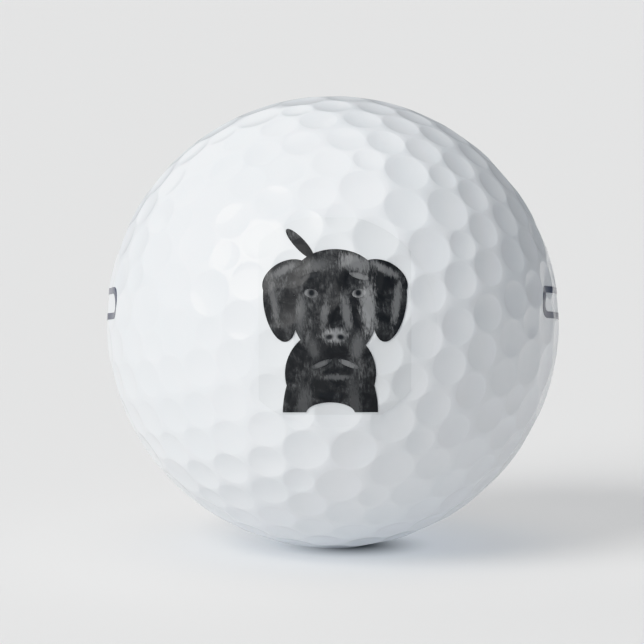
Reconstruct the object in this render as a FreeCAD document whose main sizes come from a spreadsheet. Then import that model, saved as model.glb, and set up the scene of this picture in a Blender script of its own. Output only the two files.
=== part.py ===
"""Golf ball with a printed dog motif: core, mantle, dimpled cover and six printed films.

Frame: millimetres, origin at the ball's centre, +Z up, the printed motif faces -Y and +X is on its right.
The 432 dimples follow an icosahedron whose one vertex axis, the pole, is square to the mould's parting line.
"""
import FreeCAD
import Part
import math
import os

Vector = FreeCAD.Vector
Rotation = FreeCAD.Rotation
doc = FreeCAD.newDocument("golf_ball")
os.makedirs("parts", exist_ok=True)

# ---------------------------------------------------------------- driving dimensions

sheet = doc.addObject("Spreadsheet::Sheet", "Sizes")
row = 0


def size(alias, value):
    """Put one driving value in the sheet and name its cell."""
    global row
    row += 1
    sheet.set("A%d" % row, alias)
    sheet.set("B%d" % row, str(value))
    sheet.setAlias("B%d" % row, alias)


# the ball and its shells
size("ball_diameter", 42.67)
size("cover_thickness", 1.1)
size("mantle_thickness", 1.2)
# dimples: each rim's half angle seen from the centre, and its depth below the ball's surface
size("large_angle", 5.72)
size("large_depth", 0.23)
size("medium_angle", 4.78)
size("medium_depth", 0.20)
size("small_angle", 3.9)
size("small_depth", 0.165)
size("parting_land", 0.3)       # plain land on each side of the parting line, as an angle
# how the ball lies
size("pole_tilt", 18.6)         # the pole leans this far from +Z toward -X
size("pole_spin", -57.6)        # turn of the dimple layout about its own pole
# the print
size("film_thickness", 0.03)    # each printed coat
size("print_elevation", 8.6)    # the motif's axis points this far above -Y
size("print_turn", 0.5)         # and this far toward +X
size("disc_radius", 9.5)        # round clear coat under the print
size("disc_across", -0.4)       # its centre, from the motif's axis
size("disc_rise", -0.45)
size("base_width", 13.6)        # pale base coat, a rectangle that the disc's edge trims
size("base_height", 17.6)
size("motif_margin", 0.12)      # base coat left around the motif
# the side stamps, one on each side of the ball
size("stamp_rise", 1.65)        # centre line above the print's own equator
size("stamp_height", 3.0)
size("stamp_stroke", 0.62)
size("stamp_length_left", 13.5)
size("stamp_length_right", 17.4)

# The motif is a plain sitting dog seen from the front. Each shape is an ellipse on the print's plane:
# centre across, centre up, half width, half height, lean in degrees.
BODY_SHAPES = {
    "skull": (0.0, 3.0, 3.95, 3.0, 0),
    "cheeks": (0.0, 0.4, 3.85, 4.4, 0),
    "snout": (0.0, -3.0, 2.75, 3.2, 0),
    "ear_fold_left": (-4.35, 3.3, 2.35, 1.6, 28),
    "ear_fold_right": (4.35, 3.3, 2.35, 1.6, -28),
    "ear_flap_left": (-4.95, 0.9, 1.45, 3.3, 10),
    "ear_flap_right": (4.95, 0.9, 1.45, 3.3, -10),
    "shoulders": (-0.4, -5.2, 4.1, 4.0, 0),
    "chest": (-0.4, -8.8, 4.3, 6.4, 0),
    "tail": (-3.15, 6.5, 0.5, 1.8, 42),
}
WINDOW_SHAPES = {
    "brow_left": (-2.2, 3.55, 0.95, 0.26, 16),
    "brow_right": (2.2, 3.55, 0.95, 0.26, -16),
    "eye_left": (-2.15, 2.0, 0.62, 0.4, -10),
    "eye_right": (2.15, 2.0, 0.62, 0.4, 10),
    "nose": (0.0, -1.8, 1.2, 0.7, 0),
    "lip_left": (-1.2, -4.35, 1.0, 0.24, 22),
    "lip_right": (1.2, -4.35, 1.0, 0.24, -22),
    "bib": (-0.4, -7.2, 1.1, 0.32, 0),
}
LEG_GAP = {"leg_gap": (-0.4, -8.8, 2.2, 1.0, 0)}
for shapes in (BODY_SHAPES, WINDOW_SHAPES, LEG_GAP):
    for name, values in shapes.items():
        for part_of_name, value in zip(("across", "rise", "width", "height", "lean"), values):
            size("%s_%s" % (name, part_of_name), value)
doc.recompute()


def bind(obj, **expressions):
    """Bind each property to an expression in which S stands for the sheet."""
    for name, text in expressions.items():
        obj.setExpression(name.replace("__", "."), text.replace("S.", "Sizes."))
    return obj


def degrees(alias):
    return math.radians(getattr(sheet, alias))


# ---------------------------------------------------------------- dimple layout

def icosahedron():
    """Twelve unit vectors, one of them straight up."""
    ring_height = 1 / math.sqrt(5)
    ring_radius = 2 / math.sqrt(5)
    points = [Vector(0, 0, 1), Vector(0, 0, -1)]
    for i in range(5):
        upper = math.radians(72 * i)
        points.append(Vector(ring_radius * math.cos(upper), ring_radius * math.sin(upper), ring_height))
        lower = upper + math.radians(36)
        points.append(Vector(ring_radius * math.cos(lower), ring_radius * math.sin(lower), -ring_height))
    return points


def toward(a, b, distance, heading):
    """The point at an angle from a, on a heading measured from the way to b."""
    ahead = (b - a * a.dot(b)).normalize()
    aside = a.cross(ahead)
    distance = math.radians(distance)
    heading = math.radians(heading)
    return a * math.cos(distance) + (ahead * math.cos(heading) + aside * math.sin(heading)) * math.sin(distance)


def layout():
    """Directions of the large, medium and small dimples, in the layout's own frame."""
    corners = icosahedron()
    pairs = [(a, b) for a in corners for b in corners if 1.0 < a.getAngle(b) < 1.2]
    found = {"large": [Vector(a) for a in corners], "medium": [], "small": []}
    for a, b in pairs:
        found["large"].append(toward(a, b, 11.8, 36))
        found["small"].append(toward(a, b, 16.77, 0))
        found["medium"].append(toward(a, b, 22.17, 22.8))
        found["medium"].append(toward(a, b, 22.17, -22.8))
        found["medium"].append(toward(a, b, 26.05, 0))
        found["medium"].append(toward(a, b, 31.5, 36))
        middle = (a + b).normalize()
        found["medium"].append(toward(middle, b, 9.5, 90))
    return found


def clear_parting_line(direction, half_angle):
    """Slide a dimple along its meridian until its rim leaves the land beside the parting line."""
    least = half_angle + degrees("parting_land")
    rise = math.asin(max(-1.0, min(1.0, direction.z)))
    if abs(rise) >= least:
        return direction
    rise = math.copysign(least, rise)
    flat = Vector(direction.x, direction.y, 0).normalize()
    return flat * math.cos(rise) + Vector(0, 0, math.sin(rise))


lean = Rotation(Vector(0, 1, 0), -sheet.pole_tilt)
spin = Rotation(Vector(0, 0, 1), sheet.pole_spin)
dimples = {}
for kind, directions in layout().items():
    half = degrees(kind + "_angle")
    dimples[kind] = [lean.multVec(spin.multVec(clear_parting_line(d, half))) for d in directions]

# ---------------------------------------------------------------- dimpled skins

RIM_SPARE = 0.045   # degrees of cutter outside the rim, under half the narrowest land


def cutter(kind, coats):
    """One dimple's cutter on +Z: a ball as deep as the dimple, kept inside a narrow cone."""
    rim = "(S.ball_diameter / 2 * sin(S.%s_angle * 1deg))" % kind
    sag = "(S.%s_depth - S.ball_diameter / 2 * (1 - cos(S.%s_angle * 1deg)))" % (kind, kind)
    radius = "((%s^2 + %s^2) / (2 * %s))" % (rim, sag, sag)
    name = "%s_%d" % (kind, coats)
    bowl = doc.addObject("Part::Sphere", "bowl_" + name)
    bind(bowl, Radius="%s - %d * S.film_thickness" % (radius, coats),
         Placement__Base__z="S.ball_diameter / 2 - S.%s_depth + %s" % (kind, radius))
    cone = doc.addObject("Part::Cone", "cone_" + name)
    spread = "tan((S.%s_angle + %g) * 1deg)" % (kind, RIM_SPARE)
    bind(cone, Radius1="(S.ball_diameter / 2 - 1) * " + spread,
         Radius2="(S.ball_diameter / 2 + 0.5) * " + spread,
         Height="1.5", Placement__Base__z="S.ball_diameter / 2 - 1")
    both = doc.addObject("Part::Common", "cutter_" + name)
    both.Base = bowl
    both.Tool = cone
    return both


def skin(name, coats, wanted):
    """The ball with its dimples, grown by a number of coats. Only wanted dimples are cut."""
    arrays = []
    for kind, directions in dimples.items():
        chosen = [d for d in directions if wanted(d)]
        if not chosen:
            continue
        if (kind, coats) not in cutters:
            cutters[kind, coats] = cutter(kind, coats)
        array = doc.addObject("App::Link", "%s_%s" % (name, kind))
        array.setLink(cutters[kind, coats])
        array.LinkTransform = True
        array.ShowElement = False
        array.ElementCount = len(chosen)
        array.PlacementList = [FreeCAD.Placement(Vector(), Rotation(Vector(0, 0, 1), d)) for d in chosen]
        arrays.append(array)
    everything = doc.addObject("Part::Compound", name + "_dimples")
    everything.Links = arrays
    ball = doc.addObject("Part::Sphere", name + "_ball")
    bind(ball, Radius="S.ball_diameter / 2 + %d * S.film_thickness" % coats)
    dimpled = doc.addObject("Part::Cut", name)
    dimpled.Base = ball
    dimpled.Tool = everything
    return dimpled


cutters = {}
print_turned = Rotation(Vector(0, 0, 1), sheet.print_turn)
print_raised = Rotation(Vector(1, 0, 0), 90 - sheet.print_elevation)
print_frame = print_turned.multiply(print_raised)       # plane XY and axis +Z to the print's own place
print_axis = print_frame.multVec(Vector(0, 0, 1))
side_axis = print_frame.multVec(Vector(1, 0, 0))
ball_radius = sheet.ball_diameter / 2
print_reach = math.asin(sheet.disc_radius / ball_radius) + math.radians(9)
side_reach = math.asin(max(sheet.stamp_length_left, sheet.stamp_length_right) / 2 / ball_radius) + math.radians(9)


def under_print(direction):
    return direction.getAngle(print_axis) < print_reach


def under_any_film(direction):
    across = direction.getAngle(side_axis)
    return under_print(direction) or across < side_reach or math.pi - across < side_reach


bare = skin("bare", 0, under_any_film)
coat_one = skin("coat_one", 1, under_any_film)
coat_two = skin("coat_two", 2, under_print)
coat_three = skin("coat_three", 3, under_print)
coat_four = skin("coat_four", 4, under_print)

# ---------------------------------------------------------------- core, mantle and cover


def ball_of(name, radius):
    return bind(doc.addObject("Part::Sphere", name), Radius=radius)


core_radius = "S.ball_diameter / 2 - S.cover_thickness - S.mantle_thickness"
mantle_radius = "S.ball_diameter / 2 - S.cover_thickness"

core = ball_of("core", core_radius)

mantle = doc.addObject("Part::Cut", "mantle")
mantle.Base = ball_of("mantle_outside", mantle_radius)
mantle.Tool = ball_of("mantle_inside", core_radius)

cover = doc.addObject("Part::Cut", "cover")
cover.Base = skin("outside", 0, lambda direction: True)
cover.Tool = ball_of("cover_inside", mantle_radius)

# ---------------------------------------------------------------- print shapes, as prisms along the print's axis


def prism(name, face, low="S.ball_diameter * 0.25", length="S.ball_diameter * 0.25 + 1"):
    """Extrude a flat shape along +Z, from inside the ball to just outside it."""
    bind(face, Placement__Base__z=low)
    solid = doc.addObject("Part::Extrusion", name)
    solid.Base = face
    solid.DirMode = "Custom"
    solid.Dir = Vector(0, 0, 1)
    solid.Solid = True
    return bind(solid, LengthFwd=length)


def ellipse_prism(name):
    """One of the motif's ellipses. Its long half is the larger of its two halves."""
    wide, high = getattr(sheet, name + "_width"), getattr(sheet, name + "_height")
    long_half, short_half, quarter = ("height", "width", 90) if high > wide else ("width", "height", 0)
    outline = doc.addObject("Part::Ellipse", name + "_outline")
    bind(outline, MajorRadius="S.%s_%s" % (name, long_half), MinorRadius="S.%s_%s" % (name, short_half),
         Placement__Base__x="S.%s_across" % name, Placement__Base__y="S.%s_rise" % name)
    outline.Placement.Rotation = Rotation(Vector(0, 0, 1), quarter + getattr(sheet, name + "_lean"))
    return prism(name, outline)


def combine(kind, name, *members):
    joined = doc.addObject("Part::" + kind, name)
    if kind == "Cut":
        joined.Base, joined.Tool = members
    else:
        joined.Shapes = list(members)
    return joined


def block(name, width, height, shrink="0"):
    """A centred rectangular prism as deep as the other prisms."""
    box = doc.addObject("Part::Box", name)
    return bind(box, Length="%s - 2 * %s" % (width, shrink), Width="%s - 2 * %s" % (height, shrink),
                Height="S.ball_diameter * 0.25 + 1", Placement__Base__z="S.ball_diameter * 0.25",
                Placement__Base__x="%s - %s / 2" % (shrink, width),
                Placement__Base__y="%s - %s / 2" % (shrink, height))


def disc(name, shrink):
    """The round coat's outline, made smaller all round by shrink."""
    round_prism = doc.addObject("Part::Cylinder", name)
    return bind(round_prism, Radius="S.disc_radius - " + shrink, Height="S.ball_diameter * 0.25 + 1",
                Placement__Base__x="S.disc_across", Placement__Base__y="S.disc_rise",
                Placement__Base__z="S.ball_diameter * 0.25")


def base_coat(name, shrink):
    """The base coat's outline: a rectangle trimmed by the disc."""
    return combine("MultiCommon", name, disc(name + "_disc", shrink),
                   block(name + "_block", "S.base_width", "S.base_height", shrink))


def film(label, shape, outside, inside):
    """A printed coat: the prism's share of the space between two skins."""
    capped = combine("MultiCommon", label + "_capped", shape, outside)
    return combine("Cut", label, capped, inside)


disc_shape = doc.addObject("Part::Compound", "disc_shape")
disc_shape.Links = [disc("disc_prism", "0")]
disc_shape.Placement.Rotation = print_frame
print_disc = film("print_disc", disc_shape, coat_one, bare)

base_shape = base_coat("base_shape", "0")
base_shape.Placement.Rotation = print_frame
print_base = film("print_base", base_shape, coat_two, coat_one)

dog_whole = combine("MultiFuse", "dog_whole", *[ellipse_prism(name) for name in BODY_SHAPES])
dog_standing = combine("Cut", "dog_standing", dog_whole, ellipse_prism("leg_gap"))
dog_shape = combine("MultiCommon", "dog_shape", dog_standing, base_coat("dog_limit", "S.motif_margin"))
windows = combine("MultiFuse", "windows", *[ellipse_prism(name) for name in WINDOW_SHAPES])
dark_shape = combine("Cut", "dark_shape", dog_shape, windows)

grey_placed = doc.addObject("App::Link", "grey_placed")
grey_placed.setLink(dog_shape)
grey_placed.Placement.Rotation = print_frame
dark_shape.Placement.Rotation = print_frame
print_grey_ink = film("print_grey_ink", grey_placed, coat_three, coat_two)
print_dark_ink = film("print_dark_ink", dark_shape, coat_four, coat_three)

# ---------------------------------------------------------------- side stamps: plain long rings


def slot(name, length, height):
    """A prism with straight long sides and round ends, centred on its axis."""
    straight = "(%s - %s)" % (length, height)
    middle = block(name + "_middle", straight, height)
    ends = []
    for end, sign in (("left", "-"), ("right", "")):
        round_end = doc.addObject("Part::Cylinder", "%s_%s" % (name, end))
        bind(round_end, Radius=height + " / 2", Height="S.ball_diameter * 0.25 + 1",
             Placement__Base__z="S.ball_diameter * 0.25", Placement__Base__x="%s%s / 2" % (sign, straight))
        ends.append(round_end)
    return combine("MultiFuse", name, middle, *ends)


def stamp(side, turn):
    """One ring on one side of the ball, level with the print's own equator."""
    label = "side_stamp_" + side
    length = "S.stamp_length_" + side
    outer = slot(label + "_outer", length, "S.stamp_height")
    inner = slot(label + "_inner", "(%s - 2 * S.stamp_stroke)" % length, "(S.stamp_height - 2 * S.stamp_stroke)")
    ring = combine("Cut", label + "_ring", outer, inner)
    place = print_frame.multiply(Rotation(Vector(0, 1, 0), turn))
    ring.Placement = FreeCAD.Placement(place.multVec(Vector(0, sheet.stamp_rise, 0)), place)
    return film(label, ring, coat_one, bare)


stamps = [stamp("left", -90), stamp("right", 90)]

# ---------------------------------------------------------------- check and write

doc.recompute()
pieces = [core, mantle, cover, print_disc, print_base, print_grey_ink, print_dark_ink] + stamps
for obj in doc.Objects:
    if "Invalid" in obj.State or "Error" in obj.State:
        raise RuntimeError("%s did not compute: %s" % (obj.Name, obj.State))
for piece in pieces:
    piece.Label = piece.Name
    shape = piece.Shape
    if shape.isNull() or not shape.isValid() or len(shape.Solids) != 1:
        raise RuntimeError("%s is not one valid solid: %d" % (piece.Label, len(shape.Solids)))
    shape.exportStep("parts/%s.step" % piece.Label)
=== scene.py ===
"""Looks for the printed golf ball: a finely meshed dimpled skin, the printed coats that lie on it,
procedural materials, a pale floor, studio light and the camera. The ball's sizes are in mm, and
new_mesh turns them into metres. The floor's size and the camera's distance are in metres."""
import math
import bpy
import numpy as np
from mathutils import Matrix, Vector, geometry


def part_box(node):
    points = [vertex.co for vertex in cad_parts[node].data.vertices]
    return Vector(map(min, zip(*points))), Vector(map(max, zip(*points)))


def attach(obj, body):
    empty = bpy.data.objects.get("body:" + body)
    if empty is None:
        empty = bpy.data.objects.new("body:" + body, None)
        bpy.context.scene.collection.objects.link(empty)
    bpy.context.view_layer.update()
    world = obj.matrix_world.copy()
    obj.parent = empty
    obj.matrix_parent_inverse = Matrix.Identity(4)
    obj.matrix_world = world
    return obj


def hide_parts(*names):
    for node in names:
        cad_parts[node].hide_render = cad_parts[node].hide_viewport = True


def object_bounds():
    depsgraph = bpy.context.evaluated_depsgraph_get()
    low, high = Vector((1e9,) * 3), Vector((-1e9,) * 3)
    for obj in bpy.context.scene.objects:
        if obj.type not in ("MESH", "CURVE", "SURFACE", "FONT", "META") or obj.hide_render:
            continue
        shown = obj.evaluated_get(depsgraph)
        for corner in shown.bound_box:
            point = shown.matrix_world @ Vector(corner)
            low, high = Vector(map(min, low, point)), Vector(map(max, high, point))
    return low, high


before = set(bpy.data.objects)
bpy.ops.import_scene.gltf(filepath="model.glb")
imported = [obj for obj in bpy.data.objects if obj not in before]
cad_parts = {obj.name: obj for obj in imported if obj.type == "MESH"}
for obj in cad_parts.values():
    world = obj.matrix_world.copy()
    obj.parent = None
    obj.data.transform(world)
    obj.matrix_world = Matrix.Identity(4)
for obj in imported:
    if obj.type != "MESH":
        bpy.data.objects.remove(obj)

cad_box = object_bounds()
MM = 0.001

# ---------------------------------------------------------------- sizes, as in the part

cover_low, cover_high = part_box("cover")
mantle_low, mantle_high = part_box("mantle")
BALL_RADIUS = max(cover_high - cover_low) / 2 / MM
MANTLE_RADIUS = max(mantle_high - mantle_low) / 2 / MM
KINDS = {                   # rim's half angle in degrees, depth in mm
    "large": (5.72, 0.23),
    "medium": (4.78, 0.20),
    "small": (3.9, 0.165),
}
ORBITS = [                  # kind, degrees from a corner, heading from the way to the next corner
    ("large", 11.8, 36),
    ("small", 16.77, 0),
    ("medium", 22.17, 22.8),
    ("medium", 22.17, -22.8),
    ("medium", 26.05, 0),
    ("medium", 31.5, 36),
]
BESIDE_EDGE = 9.5           # degrees of a medium dimple from the middle of an icosahedron's edge
PARTING_LAND = 0.3          # degrees
POLE_TILT = 18.6
POLE_SPIN = -57.6
COAT = 0.03                 # mm, each printed coat
PRINT_ELEVATION = 8.6
PRINT_TURN = 0.5
DISC = (-0.4, -0.45, 9.5)   # centre across, centre up, radius
BASE_SIZE = (13.6, 17.6)
MOTIF_MARGIN = 0.12
STAMP_RISE = 1.65
STAMP_HEIGHT = 3.0
STAMP_STROKE = 0.62
STAMP_LENGTHS = {"left": 13.5, "right": 17.4}

# The motif's ellipses: centre across, centre up, half width, half height, lean in degrees.
BODY_SHAPES = [
    (0.0, 3.0, 3.95, 3.0, 0),               # skull
    (0.0, 0.4, 3.85, 4.4, 0),               # cheeks
    (0.0, -3.0, 2.75, 3.2, 0),              # snout
    (-4.35, 3.3, 2.35, 1.6, 28),            # ear fold left
    (4.35, 3.3, 2.35, 1.6, -28),            # ear fold right
    (-4.95, 0.9, 1.45, 3.3, 10),            # ear flap left
    (4.95, 0.9, 1.45, 3.3, -10),            # ear flap right
    (-0.4, -5.2, 4.1, 4.0, 0),              # shoulders
    (-0.4, -8.8, 4.3, 6.4, 0),              # chest
    (-3.15, 6.5, 0.5, 1.8, 42),             # tail
]
WINDOW_SHAPES = [
    (-2.2, 3.55, 0.95, 0.26, 16),           # brow left
    (2.2, 3.55, 0.95, 0.26, -16),           # brow right
    (-2.15, 2.0, 0.62, 0.4, -10),           # eye left
    (2.15, 2.0, 0.62, 0.4, 10),             # eye right
    (0.0, -1.8, 1.2, 0.7, 0),               # nose
    (-1.2, -4.35, 1.0, 0.24, 22),           # lip left
    (1.2, -4.35, 1.0, 0.24, -22),           # lip right
    (-0.4, -7.2, 1.1, 0.32, 0),             # bib
]
LEG_GAP = (-0.4, -8.8, 2.2, 1.0, 0)

# ---------------------------------------------------------------- dimple layout


def unit(vector):
    return vector / np.linalg.norm(vector)


def icosahedron():
    """Twelve unit vectors, one of them straight up."""
    points = [np.array((0.0, 0.0, 1.0)), np.array((0.0, 0.0, -1.0))]
    for i in range(5):
        for turn, rise in ((72 * i, 1), (72 * i + 36, -1)):
            angle = math.radians(turn)
            points.append(np.array((2 * math.cos(angle), 2 * math.sin(angle), rise)) / math.sqrt(5))
    return points


def toward(a, b, distance, heading):
    """The point at an angle from a, on a heading measured from the way to b."""
    ahead = unit(b - a * a.dot(b))
    aside = np.cross(a, ahead)
    distance = math.radians(distance)
    heading = math.radians(heading)
    way = ahead * math.cos(heading) + aside * math.sin(heading)
    return a * math.cos(distance) + way * math.sin(distance)


def clear_parting_line(direction, half_angle):
    """Slide a dimple along its meridian until its rim leaves the land beside the parting line."""
    least = math.radians(half_angle + PARTING_LAND)
    rise = math.asin(max(-1.0, min(1.0, direction[2])))
    if abs(rise) >= least:
        return direction
    rise = math.copysign(least, rise)
    flat = unit(np.array((direction[0], direction[1], 0.0)))
    return flat * math.cos(rise) + np.array((0.0, 0.0, math.sin(rise)))


def layout():
    """All dimples: directions, half angles in radians, bowl radii and bowl centre distances in mm."""
    corners = icosahedron()
    found = [("large", a) for a in corners]
    for a in corners:
        for b in corners:
            # neighbouring corners are 1.107 radians apart
            if not 1.0 < math.acos(max(-1.0, min(1.0, a.dot(b)))) < 1.2:
                continue
            for kind, distance, heading in ORBITS:
                found.append((kind, toward(a, b, distance, heading)))
            found.append(("medium", toward(unit(a + b), b, BESIDE_EDGE, 90)))
    lay = np.array(Matrix.Rotation(math.radians(-POLE_TILT), 3, "Y")
                   @ Matrix.Rotation(math.radians(POLE_SPIN), 3, "Z"))
    directions, halves, bowls, centres = [], [], [], []
    for kind, direction in found:
        half, depth = KINDS[kind]
        directions.append(lay @ clear_parting_line(direction, half))
        half = math.radians(half)
        rim = BALL_RADIUS * math.sin(half)
        sag = depth - BALL_RADIUS * (1 - math.cos(half))
        bowl = (rim ** 2 + sag ** 2) / (2 * sag)
        halves.append(half)
        bowls.append(bowl)
        centres.append(BALL_RADIUS - depth + bowl)
    return np.array(directions), np.array(halves), np.array(bowls), np.array(centres)


DIMPLES, HALVES, BOWLS, CENTRES = layout()

# ---------------------------------------------------------------- the skin as a function of direction

LIP = 0.02                  # mm, how softly a rim blends into the land
NEAREST = 3                 # dimples that can reach one point
BATCH = 8192                # points worked on at a time
TINY = 1e-6                 # keeps divisors and roots above zero


def skin(directions):
    """Distance from the ball's centre to the skin, and the skin's normal, for unit directions."""
    radius = np.full(len(directions), BALL_RADIUS)
    normal = np.empty_like(directions)
    for start in range(0, len(directions), BATCH):
        part = slice(start, start + BATCH)
        d = directions[part]
        cosine = np.clip(d @ DIMPLES.T, -1, 1)
        angle = np.arccos(cosine)
        near = np.argpartition(angle - HALVES, NEAREST, axis=1)[:, :NEAREST]
        r = radius[part].copy()
        slope = np.zeros_like(d)
        rows = np.arange(len(d))
        for column in range(NEAREST):
            i = near[:, column]
            theta = angle[rows, i]
            under = BOWLS[i] ** 2 - (CENTRES[i] * np.sin(theta)) ** 2
            root = np.sqrt(np.maximum(under, TINY))
            bowl = np.where(under > 0, CENTRES[i] * np.cos(theta) - root, BALL_RADIUS + 1)
            steep = -CENTRES[i] * np.sin(theta)
            steep = steep + CENTRES[i] ** 2 * np.sin(theta) * np.cos(theta) / root
            away = cosine[rows, i][:, None] * d - DIMPLES[i]
            away /= np.maximum(np.sin(theta), TINY)[:, None]
            mix = np.clip(0.5 + 0.5 * (r - bowl) / LIP, 0, 1)
            r = r * (1 - mix) + bowl * mix - LIP * mix * (1 - mix)
            slope = slope * (1 - mix)[:, None] + away * (steep * mix)[:, None]
        radius[part] = r
        n = d * r[:, None] - slope
        normal[part] = n / np.linalg.norm(n, axis=1)[:, None]
    return radius, normal


# ---------------------------------------------------------------- mesh helpers

SLIVER = 1e-7               # below this a distance or an area counts as none


def at_corners(faces, normals):
    """Each face corner's normal, from normals listed by point."""
    return normals[[point for face in faces for point in face]]


def new_mesh(name, points_mm, faces, corner_normals):
    """A smooth mesh object from points in mm, shaded by the given normals."""
    mesh = bpy.data.meshes.new(name)
    mesh.from_pydata((points_mm * MM).tolist(), [], faces)
    if mesh.validate():
        raise RuntimeError("%s has faces that Blender had to mend" % name)
    mesh.update()
    mesh.polygons.foreach_set("use_smooth", [True] * len(mesh.polygons))
    mesh.normals_split_custom_set(corner_normals.tolist())
    obj = bpy.data.objects.new(name, mesh)
    bpy.context.scene.collection.objects.link(obj)
    return obj


def delaunay(points, loops=()):
    """Triangles over flat points. Loops are lists of point indices whose edges are kept."""
    edges = [(loop[k], loop[(k + 1) % len(loop)]) for loop in loops for k in range(len(loop))]
    vectors = [Vector((float(x), float(y))) for x, y in points]
    verts, _, faces, *_ = geometry.delaunay_2d_cdt(vectors, edges, [], 0, SLIVER)
    return np.array([(v.x, v.y) for v in verts]), [tuple(f) for f in faces]


# ---------------------------------------------------------------- cover

RIM_STEP = 0.26             # mm between points along a rim
RIM_OFFSETS = (-0.16, -0.06, 0.03)      # mm from the rim, outward
FLOOR_SHARES = (0.3, 0.58, 0.8)         # of the rim's half angle


def ring_points(direction, half):
    """Rings of unit directions around one dimple, close together at its rim."""
    across = unit(np.cross(direction, (0.3, 0.5, 0.8) if abs(direction[2]) > 0.9 else (0.0, 0.0, 1.0)))
    along = np.cross(direction, across)
    rings = [half * share for share in FLOOR_SHARES]
    rings += [half + offset / BALL_RADIUS for offset in RIM_OFFSETS]
    points = []
    for number, angle in enumerate(rings):
        length = 2 * math.pi * BALL_RADIUS * math.sin(angle)
        spacing = RIM_STEP if number >= len(FLOOR_SHARES) else 2 * RIM_STEP
        count = max(8, round(length / spacing))
        turn = np.arange(count) * 2 * math.pi / count + 0.5 * number
        ring = across * np.cos(turn)[:, None] + along * np.sin(turn)[:, None]
        points.append(direction * math.cos(angle) + ring * math.sin(angle))
    return np.concatenate(points)


def build_cover():
    """The dimpled outer skin, as one closed shell; cavity() adds the round inside."""
    rings = [ring_points(direction, half) for direction, half in zip(DIMPLES, HALVES)]
    centres = DIMPLES[1:]
    points = np.concatenate([DIMPLES[:1]] + [centres] + rings)
    # flatten from the first dimple's centre, which no other point shares
    pole = DIMPLES[0]
    across = unit(np.cross(pole, (0.0, 1.0, 0.0)))
    along = np.cross(pole, across)
    height = points[1:] @ pole
    flat = np.stack((points[1:] @ across, points[1:] @ along), axis=1) / (1 - height)[:, None]
    verts, faces = delaunay(flat)
    if len(verts) != len(flat):
        raise RuntimeError("two skin points fell together")
    faces = [(a + 1, b + 1, c + 1) for a, b, c in faces]
    directed = set()
    for a, b, c in faces:
        directed.update(((a, b), (b, c), (c, a)))
    faces += [(b, a, 0) for a, b in directed if (b, a) not in directed]
    radius, normal = skin(points)
    outside = points * radius[:, None]
    a, b, c = outside[list(faces[0])]
    if np.dot(np.cross(b - a, c - a), a) < 0:
        faces = [(f[0], f[2], f[1]) for f in faces]
    return outside, faces, normal


def cavity(start):
    """The cover's round inside, facing inward."""
    columns, rows = 96, 48
    points, faces = [(0, 0, MANTLE_RADIUS), (0, 0, -MANTLE_RADIUS)], []
    for row in range(1, rows):
        down = math.pi * row / rows
        for column in range(columns):
            turn = 2 * math.pi * column / columns
            points.append((MANTLE_RADIUS * math.sin(down) * math.cos(turn),
                           MANTLE_RADIUS * math.sin(down) * math.sin(turn),
                           MANTLE_RADIUS * math.cos(down)))

    def at(row, column):
        return start + 2 + (row - 1) * columns + column % columns

    for column in range(columns):
        faces.append((start, at(1, column + 1), at(1, column)))
        faces.append((start + 1, at(rows - 1, column), at(rows - 1, column + 1)))
        for row in range(1, rows - 1):
            faces.append((at(row, column), at(row, column + 1),
                          at(row + 1, column + 1), at(row + 1, column)))
    points = np.array(points)
    return points, faces, -points / MANTLE_RADIUS


skin_points, skin_faces, skin_normals = build_cover()
room_points, room_faces, room_normals = cavity(len(skin_points))
cover_faces = skin_faces + room_faces
cover = new_mesh("cover_shell", np.concatenate((skin_points, room_points)), cover_faces,
                 at_corners(cover_faces, np.concatenate((skin_normals, room_normals))))

# ---------------------------------------------------------------- printed coats

PRINT_FRAME = (Matrix.Rotation(math.radians(PRINT_TURN), 3, "Z")
               @ Matrix.Rotation(math.radians(90 - PRINT_ELEVATION), 3, "X"))
SIDE_FRAMES = {"left": PRINT_FRAME @ Matrix.Rotation(math.radians(-90), 3, "Y"),
               "right": PRINT_FRAME @ Matrix.Rotation(math.radians(90), 3, "Y")}
EDGE_STEP = 0.1             # mm between points along a printed edge
FILL_STEP = 0.2             # mm between points inside
EDGE_CLEARANCE = 0.7        # of EDGE_STEP, kept free of inside points
DISC_FILL = (10.0, 10.0)    # mm, half width and half height that inside points cover
MOTIF_FILL = (7.0, 9.0)
FEATHER = 1.0125            # how much wider the disc and the base are at their foot than at their top
SETTLE_STEPS = 6            # to find how deep a point of a plane meets the dimpled skin


def ellipse_loop(across, rise, width, height, lean):
    count = max(16, round(math.pi * (width + height) / EDGE_STEP))
    turn = np.arange(count) * 2 * math.pi / count
    x, y = width * np.cos(turn), height * np.sin(turn)
    lean = math.radians(lean)
    return np.stack((across + x * math.cos(lean) - y * math.sin(lean),
                     rise + x * math.sin(lean) + y * math.cos(lean)), axis=1)


def in_ellipse(p, shape):
    across, rise, width, height, lean = shape
    lean = math.radians(lean)
    x, y = p[:, 0] - across, p[:, 1] - rise
    along = x * math.cos(lean) + y * math.sin(lean)
    aside = y * math.cos(lean) - x * math.sin(lean)
    return (along / width) ** 2 + (aside / height) ** 2 < 1


def rectangle_loop(width, height):
    """A centred rectangle with points all along its sides."""
    sides = []
    corners = [(-width, -height), (width, -height), (width, height), (-width, height)]
    for k, corner in enumerate(corners):
        a, b = np.array(corner) / 2, np.array(corners[(k + 1) % 4]) / 2
        count = round(np.linalg.norm(b - a) / EDGE_STEP)
        sides.append(a + (b - a) * (np.arange(count) / count)[:, None])
    return np.concatenate(sides)


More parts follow.
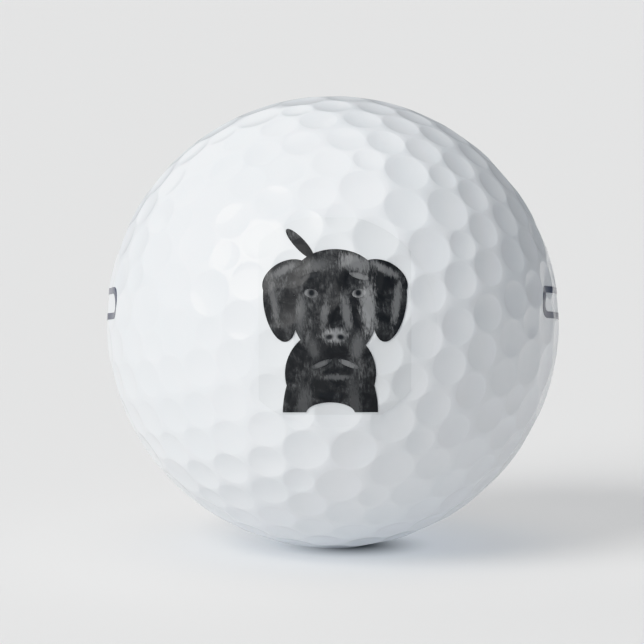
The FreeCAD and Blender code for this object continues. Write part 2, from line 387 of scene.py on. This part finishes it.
def slot_loop(length, height):
    """A long ring's edge: two straight sides and two round ends, centred."""
    straight, radius = length - height, height / 2
    count = round(math.pi * radius / EDGE_STEP)
    turn = np.linspace(-math.pi / 2, math.pi / 2, count)
    end = np.stack((straight / 2 + radius * np.cos(turn), radius * np.sin(turn)), axis=1)
    steps = round(straight / EDGE_STEP)
    along = np.linspace(straight / 2, -straight / 2, steps)[1:-1]
    side = np.stack((along, np.full(steps - 2, radius)), axis=1)
    return np.concatenate((end, side, -end, -side))


def in_slot(p, length, height):
    reach = np.maximum(np.abs(p[:, 0]) - (length - height) / 2, 0)
    return reach ** 2 + p[:, 1] ** 2 < (height / 2) ** 2


def triangulate(loops, half_width, half_height):
    """Triangles over a rectangle of fill points, with the loops as kept edges."""
    columns = np.arange(-half_width, half_width, FILL_STEP)
    rows = np.arange(-half_height, half_height, FILL_STEP * math.sqrt(3) / 2)
    grid_x, grid_y = np.meshgrid(columns, rows)
    grid_x = grid_x + (np.arange(len(rows)) % 2 * FILL_STEP / 2)[:, None]
    fill = np.stack((grid_x.ravel(), grid_y.ravel()), axis=1)
    border = np.concatenate(loops)
    clear = np.ones(len(fill), bool)
    for start in range(0, len(border), 256):
        near = np.linalg.norm(fill[:, None] - border[None, start:start + 256], axis=2).min(axis=1)
        clear &= near > EDGE_STEP * EDGE_CLEARANCE
    points = np.concatenate((border, fill[clear]))
    indexed, start = [], 0
    for loop in loops:
        indexed.append(list(range(start, start + len(loop))))
        start += len(loop)
    return delaunay(points, indexed)


def on_skin(flat, place, coats, rise=0.0):
    """Points of a plane carried along its axis to so many coats above the skin, with their normals."""
    turn = np.array(place)
    x, y = flat[:, 0], flat[:, 1] + rise
    depth = np.sqrt(np.maximum(BALL_RADIUS ** 2 - x ** 2 - y ** 2, 1))
    for _ in range(SETTLE_STEPS):
        points = np.stack((x, y, depth), axis=1) @ turn.T
        directions = points / np.linalg.norm(points, axis=1)[:, None]
        radius, normal = skin(directions)
        depth = np.sqrt(np.maximum((radius + coats * COAT) ** 2 - x ** 2 - y ** 2, 1))
    return np.stack((x, y, depth), axis=1) @ turn.T, normal


def coat(name, verts, faces, keep, place, coats, rise=0.0, feather=1.0):
    """A closed film made of the triangles whose middles keep() takes, one coat thick."""
    corners = np.array(faces)
    middles = verts[corners].mean(axis=1)
    a, b, c = verts[corners[:, 0]], verts[corners[:, 1]], verts[corners[:, 2]]
    area = np.abs((b - a)[:, 0] * (c - a)[:, 1] - (b - a)[:, 1] * (c - a)[:, 0])
    corners = corners[keep(middles) & (area > SLIVER)]
    used, corners = np.unique(corners, return_inverse=True)
    corners = corners.reshape(-1, 3)
    top, top_normal = on_skin(verts[used], place, coats, rise)
    foot = DISC[:2] + (verts[used] - DISC[:2]) * feather
    low, low_normal = on_skin(foot, place, coats - 1, rise)
    count = len(used)
    triangles = [tuple(int(k) for k in t) for t in corners]
    directed = set()
    for p, q, r in triangles:
        directed.update(((p, q), (q, r), (r, p)))
    edge = [(p, q) for p, q in directed if (q, p) not in directed]
    faces = triangles + [(p + count, r + count, q + count) for p, q, r in triangles]
    walls = [(q, p, p + count, q + count) for p, q in edge]
    # the thin wall is shaded like the top, as a coat's feathered edge is
    corner_normals = np.concatenate(
        (at_corners(faces, np.concatenate((top_normal, -low_normal))),
         at_corners(walls, np.concatenate((top_normal, top_normal)))))
    return new_mesh(name, np.concatenate((top, low)), faces + walls, corner_normals)


def in_disc(p, shrink=0.0):
    return (p[:, 0] - DISC[0]) ** 2 + (p[:, 1] - DISC[1]) ** 2 < (DISC[2] - shrink) ** 2


def in_base(p, shrink=0.0):
    across = np.abs(p[:, 0]) < BASE_SIZE[0] / 2 - shrink
    along = np.abs(p[:, 1]) < BASE_SIZE[1] / 2 - shrink
    return across & along & in_disc(p, shrink)


def in_motif(p):
    body = np.any([in_ellipse(p, shape) for shape in BODY_SHAPES], axis=0)
    return body & ~in_ellipse(p, LEG_GAP) & in_base(p, MOTIF_MARGIN)


def in_windows(p):
    return np.any([in_ellipse(p, shape) for shape in WINDOW_SHAPES], axis=0)


disc_edge = ellipse_loop(DISC[0], DISC[1], DISC[2], DISC[2], 0)
disc_limit = ellipse_loop(DISC[0], DISC[1], DISC[2] - MOTIF_MARGIN, DISC[2] - MOTIF_MARGIN, 0)
base_edge = rectangle_loop(*BASE_SIZE)
base_limit = rectangle_loop(BASE_SIZE[0] - 2 * MOTIF_MARGIN, BASE_SIZE[1] - 2 * MOTIF_MARGIN)
motif_edges = [ellipse_loop(*shape) for shape in BODY_SHAPES + WINDOW_SHAPES + [LEG_GAP]]

verts, faces = triangulate([disc_edge, base_edge], *DISC_FILL)
print_disc = coat("print_disc_film", verts, faces, in_disc, PRINT_FRAME, 1, feather=FEATHER)
print_base = coat("print_base_film", verts, faces, in_base, PRINT_FRAME, 2, feather=FEATHER)
verts, faces = triangulate([disc_limit, base_limit] + motif_edges, *MOTIF_FILL)
grey_ink = coat("grey_ink_film", verts, faces, in_motif, PRINT_FRAME, 3)
dark_ink = coat("dark_ink_film", verts, faces, lambda p: in_motif(p) & ~in_windows(p),
                PRINT_FRAME, 4)


def build_stamp(side):
    """A long ring printed round one side of the ball."""
    length = STAMP_LENGTHS[side]
    outer = (length, STAMP_HEIGHT)
    inner = (length - 2 * STAMP_STROKE, STAMP_HEIGHT - 2 * STAMP_STROKE)
    verts, faces = triangulate([slot_loop(*outer), slot_loop(*inner)], length / 2, STAMP_HEIGHT / 2)
    return coat("stamp_%s_film" % side, verts, faces,
                lambda p: in_slot(p, *outer) & ~in_slot(p, *inner), SIDE_FRAMES[side], 1, STAMP_RISE)


stamps = {side: build_stamp(side) for side in STAMP_LENGTHS}

# ---------------------------------------------------------------- materials


class Shader:
    """A material's node tree, with short ways to add and join nodes."""

    def __init__(self, name):
        self.material = bpy.data.materials.new(name)
        self.material.use_nodes = True
        self.nodes = self.material.node_tree.nodes
        self.links = self.material.node_tree.links
        self.surface = self.nodes["Principled BSDF"]

    def add(self, kind, **settings):
        node = self.nodes.new(kind)
        for name, value in settings.items():
            setattr(node, name, value)
        return node

    def feed(self, socket, value):
        if isinstance(value, bpy.types.NodeSocket):
            self.links.new(value, socket)
        else:
            socket.default_value = value

    def set(self, **sockets):
        for name, value in sockets.items():
            self.feed(self.surface.inputs[name.replace("_", " ")], value)

    def math(self, operation, *values):
        node = self.add("ShaderNodeMath", operation=operation)
        for socket, value in zip(node.inputs, values):
            self.feed(socket, value)
        return node.outputs[0]

    def place(self, rotation=(0, 0, 0), scale=(MM, MM, MM), location=(0, 0, 0), source=None):
        """The object's coordinates seen from a turned, moved and scaled frame."""
        node = self.add("ShaderNodeMapping", vector_type="TEXTURE")
        source = source or self.add("ShaderNodeTexCoord").outputs["Object"]
        self.links.new(source, node.inputs["Vector"])
        node.inputs["Location"].default_value = location
        node.inputs["Rotation"].default_value = rotation
        node.inputs["Scale"].default_value = scale
        return node.outputs[0]

    def noise(self, vector, scale, detail=4.0, roughness=0.55, distortion=0.0):
        node = self.add("ShaderNodeTexNoise")
        self.links.new(vector, node.inputs["Vector"])
        node.inputs["Scale"].default_value = scale
        node.inputs["Detail"].default_value = detail
        node.inputs["Roughness"].default_value = roughness
        node.inputs["Distortion"].default_value = distortion
        return node.outputs["Fac"]

    def span(self, value, low, high, to_low=0.0, to_high=1.0):
        """The value's way from low to high, as a smooth step between two numbers."""
        node = self.add("ShaderNodeMapRange", interpolation_type="SMOOTHSTEP")
        for socket, item in zip(node.inputs, (value, low, high, to_low, to_high)):
            self.feed(socket, item)
        return node.outputs[0]

    def mix(self, share, a, b):
        node = self.add("ShaderNodeMix", data_type="RGBA")
        self.feed(node.inputs["Factor"], share)
        self.feed(node.inputs[6], a)
        self.feed(node.inputs[7], b)
        return node.outputs[2]

    def bump(self, value, strength, distance):
        node = self.add("ShaderNodeBump")
        node.inputs["Strength"].default_value = strength
        node.inputs["Distance"].default_value = distance
        self.links.new(value, node.inputs["Height"])
        self.links.new(node.outputs[0], self.surface.inputs["Normal"])


def rgb(r, g, b):
    return (r, g, b, 1.0)


def white_cover():
    s = Shader("cover_white")
    spot = s.place()
    cloud = s.noise(spot, 0.12, 3.0)
    s.set(Base_Color=s.mix(s.span(cloud, 0.35, 0.65),
                           rgb(0.775, 0.80, 0.825), rgb(0.80, 0.82, 0.845)),
          Roughness=s.span(s.noise(spot, 1.4, 4.0), 0.3, 0.7, 0.30, 0.36))
    s.set(Coat_Weight=0.5, Coat_Roughness=0.05, Subsurface_Weight=0.12,
          Subsurface_Radius=(0.9, 0.8, 0.8), Subsurface_Scale=MM)
    s.bump(s.noise(spot, 5.0, 3.0), 0.12, 0.004 * MM)
    return s.material


def clear_disc():
    s = Shader("disc_coat")
    spot = s.place()
    s.set(Base_Color=s.mix(s.noise(spot, 0.5, 3.0), rgb(0.765, 0.79, 0.815), rgb(0.785, 0.805, 0.83)),
          Roughness=0.33, Coat_Weight=0.5, Coat_Roughness=0.06)
    s.bump(s.noise(spot, 6.0, 3.0), 0.12, 0.004 * MM)
    return s.material


def pale_base():
    s = Shader("base_coat")
    spot = s.place()
    s.set(Base_Color=s.mix(s.noise(spot, 0.8, 4.0), rgb(0.705, 0.73, 0.75), rgb(0.725, 0.745, 0.765)),
          Roughness=0.42, Coat_Weight=0.35, Coat_Roughness=0.2)
    s.bump(s.noise(spot, 8.0, 3.0), 0.15, 0.004 * MM)
    return s.material


PRINT_ROTATION = tuple(PRINT_FRAME.to_euler())
PATCH_FADE = (0.35, 1.3)    # where a stroke or a spot starts and ends its fade, 1 being the ellipse's edge
STROKE_RAGGED = 2.6         # how far the bristles tear a stroke's edge
SPOT_RAGGED = 0.4
ANY_DEPTH = 1000.0          # a patch reaches through the whole film


def ink(name, dark, pale, strokes, spots):
    """Printed ink with a brushed wash: soft light strokes over a cloudy ground, then dark spots."""
    s = Shader(name)
    flat = s.place(rotation=PRINT_ROTATION)
    cloud = s.noise(flat, 0.55, 6.0, 0.62, 0.6)
    hair = s.noise(s.place(rotation=(0, 0, 0.1), scale=(0.28, 1.1, 1), source=flat), 1.6, 6.0, 0.7, 0.4)
    wash = s.math("MULTIPLY", s.span(cloud, 0.40, 0.72), s.span(hair, 0.30, 0.75))
    light = s.math("MULTIPLY", wash, 0.35)
    bristle = s.math("SUBTRACT", hair, 0.5)

    def patch(shape, ragged, weight, outside):
        """A number that is weight inside an ellipse and fades to another outside it."""
        across, rise, width, height, lean = shape
        reach = s.add("ShaderNodeVectorMath", operation="LENGTH")
        s.links.new(s.place(rotation=(0, 0, math.radians(lean)), scale=(width, height, ANY_DEPTH),
                            location=(across, rise, 0), source=flat), reach.inputs[0])
        edge = s.math("ADD", reach.outputs["Value"], s.math("MULTIPLY", bristle, ragged))
        return s.span(edge, *PATCH_FADE, weight, outside)

    for *shape, weight in strokes:
        light = s.math("MAXIMUM", light, patch(shape, STROKE_RAGGED, weight, 0.0))
    for shape in spots:
        light = s.math("MULTIPLY", light, patch(shape, SPOT_RAGGED, 0.0, 1.0))
    s.set(Base_Color=s.mix(light, dark, pale), Roughness=s.span(hair, 0.3, 0.7, 0.42, 0.58))
    s.set(Coat_Weight=0.08, Coat_Roughness=0.3, Specular_IOR_Level=0.35)
    s.bump(hair, 0.2, 0.006 * MM)
    return s.material


NOSE = (0.0, -1.8, 1.3, 0.8, 0)
NOSTRILS = [
    (-0.52, -1.95, 0.42, 0.3, 14),
    (0.52, -1.95, 0.42, 0.3, -14),
]
# Light strokes on the dark ink: centre across, centre up, half width, half height, lean, strength.
DARK_STROKES = [
    (1.8, 4.7, 1.7, 0.9, -18, 0.45),        # forehead
    (-1.6, 4.5, 1.3, 0.6, 20, 0.22),
    (3.0, 0.6, 0.75, 2.9, 4, 0.55),         # cheeks
    (-3.05, 0.3, 0.5, 2.2, -5, 0.26),
    (1.0, 0.2, 0.5, 1.9, 8, 0.36),          # bridge of the nose
    (-0.95, 0.1, 0.4, 1.6, -8, 0.28),
    (*NOSE, 0.45),
    (2.0, -2.9, 0.65, 1.4, -12, 0.26),      # muzzle
    (-1.95, -2.9, 0.5, 1.2, 12, 0.15),
    (0.1, -5.55, 1.5, 0.3, 0, 0.24),        # chin
    (5.55, 1.2, 0.42, 2.5, -8, 0.36),       # ears
    (-5.5, 1.2, 0.4, 2.3, 8, 0.28),
    (4.6, 4.1, 1.7, 0.42, -28, 0.4),
    (-4.6, 4.1, 1.6, 0.42, 28, 0.34),
    (-2.8, -8.0, 0.8, 2.0, -6, 0.17),       # chest
    (1.8, -7.6, 0.7, 2.0, 6, 0.14),
]
# Pale strokes and dark spots on the grey ink, seen through the dark ink's windows.
GREY_STROKES = [
    (-2.15, 2.0, 0.9, 0.6, -10, 0.5),       # eyes
    (2.15, 2.0, 0.9, 0.6, 10, 0.75),
    (2.2, 3.55, 1.1, 0.5, -16, 0.45),       # brow right
    (*NOSE, 0.55),
    (1.2, -4.35, 1.2, 0.5, -22, 0.4),       # lips
    (-1.2, -4.35, 1.2, 0.5, 22, 0.25),
]
GREY_SPOTS = NOSTRILS + [
    (-2.1, 2.03, 0.4, 0.42, 0),             # pupils
    (2.1, 2.03, 0.4, 0.42, 0),
]


def navy_stamp():
    s = Shader("stamp_ink")
    spot = s.place()
    s.set(Base_Color=s.mix(s.noise(spot, 2.5, 4.0), rgb(0.022, 0.03, 0.07), rgb(0.05, 0.06, 0.11)),
          Roughness=0.3, Coat_Weight=0.6, Coat_Roughness=0.08)
    s.bump(s.noise(spot, 6.0, 3.0), 0.1, 0.004 * MM)
    return s.material


def moulded(name, low, high, roughness, speck):
    s = Shader(name)
    spot = s.place()
    s.set(Base_Color=s.mix(s.span(s.noise(spot, speck, 5.0), 0.4, 0.6), low, high), Roughness=roughness)
    s.bump(s.noise(spot, speck * 2, 4.0), 0.2, 0.01 * MM)
    return s.material


def dress(obj, material):
    obj.data.materials.clear()
    obj.data.materials.append(material)


dress(cover, white_cover())
dress(print_disc, clear_disc())
dress(print_base, pale_base())
dress(grey_ink, ink("grey_ink", rgb(0.03, 0.032, 0.035), rgb(0.46, 0.47, 0.48),
                    GREY_STROKES, GREY_SPOTS))
dress(dark_ink, ink("dark_ink", rgb(0.028, 0.029, 0.031), rgb(0.42, 0.43, 0.44),
                    DARK_STROKES, NOSTRILS))
stamp_ink = navy_stamp()
for stamp in stamps.values():
    dress(stamp, stamp_ink)
dress(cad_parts["core"],
      moulded("core_rubber", rgb(0.10, 0.12, 0.16), rgb(0.16, 0.18, 0.22), 0.7, 1.2))
dress(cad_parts["mantle"],
      moulded("mantle_resin", rgb(0.62, 0.62, 0.56), rgb(0.68, 0.68, 0.62), 0.4, 0.6))

# ---------------------------------------------------------------- pieces and their CAD nodes

PIECES = [
    (cover, "cover", "cover_white"),
    (print_disc, "print_disc", "disc_coat"),
    (print_base, "print_base", "base_coat"),
    (grey_ink, "print_grey_ink", "grey_ink"),
    (dark_ink, "print_dark_ink", "dark_ink"),
    (stamps["left"], "side_stamp_left", "stamp_ink"),
    (stamps["right"], "side_stamp_right", "stamp_ink"),
]
for piece, node, slot in PIECES:
    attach(piece, "root")
    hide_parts(node)

# ---------------------------------------------------------------- floor, light and camera

FLOOR_SIZE = 6.0
FLOOR_GREY = 0.42
FLOOR_GLOW = 0.38           # a table lit from below, which softens the shadow
PAINTED_SHADOW_SIZE = 4             # mm around the contact, where the glow dims into a painted contact shadow
PAINTED_SHADOW_SHARE = 0.03         # how much of the glow the painted contact shadow leaves there
PAINTED_TINT_REACH = 26             # mm around the contact, where the glow carries a painted bluish shade
# a painted bluish shade on the floor around the contact; its glow also casts a blue tint onto the ball's
# underside
PAINTED_SHADE_TINT = rgb(0.97, 1.05, 1.14)
BACKDROP_RADIUS = FLOOR_SIZE * 0.49     # just inside the floor's edge
BACKDROP_GLOW = 0.83
SKY = rgb(0.88, 0.935, 1.0)
SKY_STRENGTH = 0.31
WARM = (1.0, 0.985, 0.96)


def pale_floor():
    """A matt table that glows a little, less beside the spot that the ball stands on as a painted contact
    shadow, and bluish around it as a painted shade.
    """
    s = Shader("floor_pale")
    reach = s.add("ShaderNodeVectorMath", operation="LENGTH")
    s.links.new(s.place(location=(PAINTED_SHADOW_SIZE / 2 * MM, 0, 0)), reach.inputs[0])
    distance = reach.outputs["Value"]
    s.set(Base_Color=rgb(FLOOR_GREY, FLOOR_GREY, FLOOR_GREY), Roughness=0.9, Specular_IOR_Level=0.1,
          # the glow turns bluish around the contact as a painted bluish shade
          Emission_Color=s.mix(s.span(distance, 0, PAINTED_TINT_REACH), PAINTED_SHADE_TINT, rgb(1.0, 1.0, 1.0)),
          # the glow dims near the contact as a painted contact shadow
          Emission_Strength=s.span(distance, 0, 2 * PAINTED_SHADOW_SIZE,
                                   PAINTED_SHADOW_SHARE * FLOOR_GLOW, FLOOR_GLOW))
    return s.material


def pale_backdrop():
    """A plain glow, the same all over."""
    s = Shader("backdrop_pale")
    s.set(Base_Color=rgb(0, 0, 0), Roughness=1.0, Specular_IOR_Level=0.0,
          Emission_Color=rgb(1.0, 1.0, 1.0), Emission_Strength=BACKDROP_GLOW)
    return s.material


bpy.ops.mesh.primitive_plane_add(size=FLOOR_SIZE, location=(0, 0, cad_box[0][2]))
floor = bpy.context.object
floor.name = "floor"
dress(floor, pale_floor())

# the backdrop closes the view just inside the floor's edge, and neither lights the ball nor shades it
bpy.ops.mesh.primitive_uv_sphere_add(segments=96, ring_count=48, radius=BACKDROP_RADIUS)
backdrop = bpy.context.object
backdrop.name = "backdrop"
for ray in ("diffuse", "glossy", "shadow", "transmission"):
    setattr(backdrop, "visible_" + ray, False)
dress(backdrop, pale_backdrop())

scene = bpy.context.scene
scene.view_settings.view_transform = "Khronos PBR Neutral"

world = bpy.data.worlds.new("studio")
world.use_nodes = True
sky = world.node_tree.nodes["Background"]
sky.inputs["Color"].default_value = SKY
sky.inputs["Strength"].default_value = SKY_STRENGTH
scene.world = world


def sun(name, toward_light, strength, spread, colour):
    """A large soft source far away: toward_light points at it, spread is its width in degrees."""
    light = bpy.data.lights.new(name, "SUN")
    light.energy = strength
    light.angle = math.radians(spread)
    light.color = colour
    lamp = bpy.data.objects.new(name, light)
    lamp.rotation_euler = Vector(toward_light).to_track_quat("Z", "Y").to_euler()
    scene.collection.objects.link(lamp)


def compass(azimuth, elevation):
    """A direction from degrees: azimuth 0 is +X and 90 is +Y."""
    azimuth, elevation = math.radians(azimuth), math.radians(elevation)
    return (math.cos(azimuth) * math.cos(elevation), math.sin(azimuth) * math.cos(elevation),
            math.sin(elevation))


sun("key", compass(220, 35), 2.65, 40, WARM)
sun("softbox", compass(227, 44), 0.3, 18, WARM)
sun("behind", compass(120, 35), 0.3, 40, WARM)
sun("overhead", compass(0, 90), 0.55, 40, WARM)

CAMERA_DISTANCE = 0.426
CAMERA_ELEVATION = math.radians(7)
LENS = 252                  # mm
SENSOR = 36                 # mm
FRAMING_SHIFT = -0.017      # the ball stands a little right of the picture's middle
camera_data = bpy.data.cameras.new("camera")
camera_data.lens = LENS
camera_data.sensor_width = SENSOR
camera_data.shift_x = FRAMING_SHIFT
camera_data.clip_start = 0.01
camera = bpy.data.objects.new("camera", camera_data)
camera.location = (0, -CAMERA_DISTANCE * math.cos(CAMERA_ELEVATION),
                   CAMERA_DISTANCE * math.sin(CAMERA_ELEVATION))
camera.rotation_euler = (math.pi / 2 - CAMERA_ELEVATION, 0, 0)
scene.collection.objects.link(camera)
scene.camera = camera
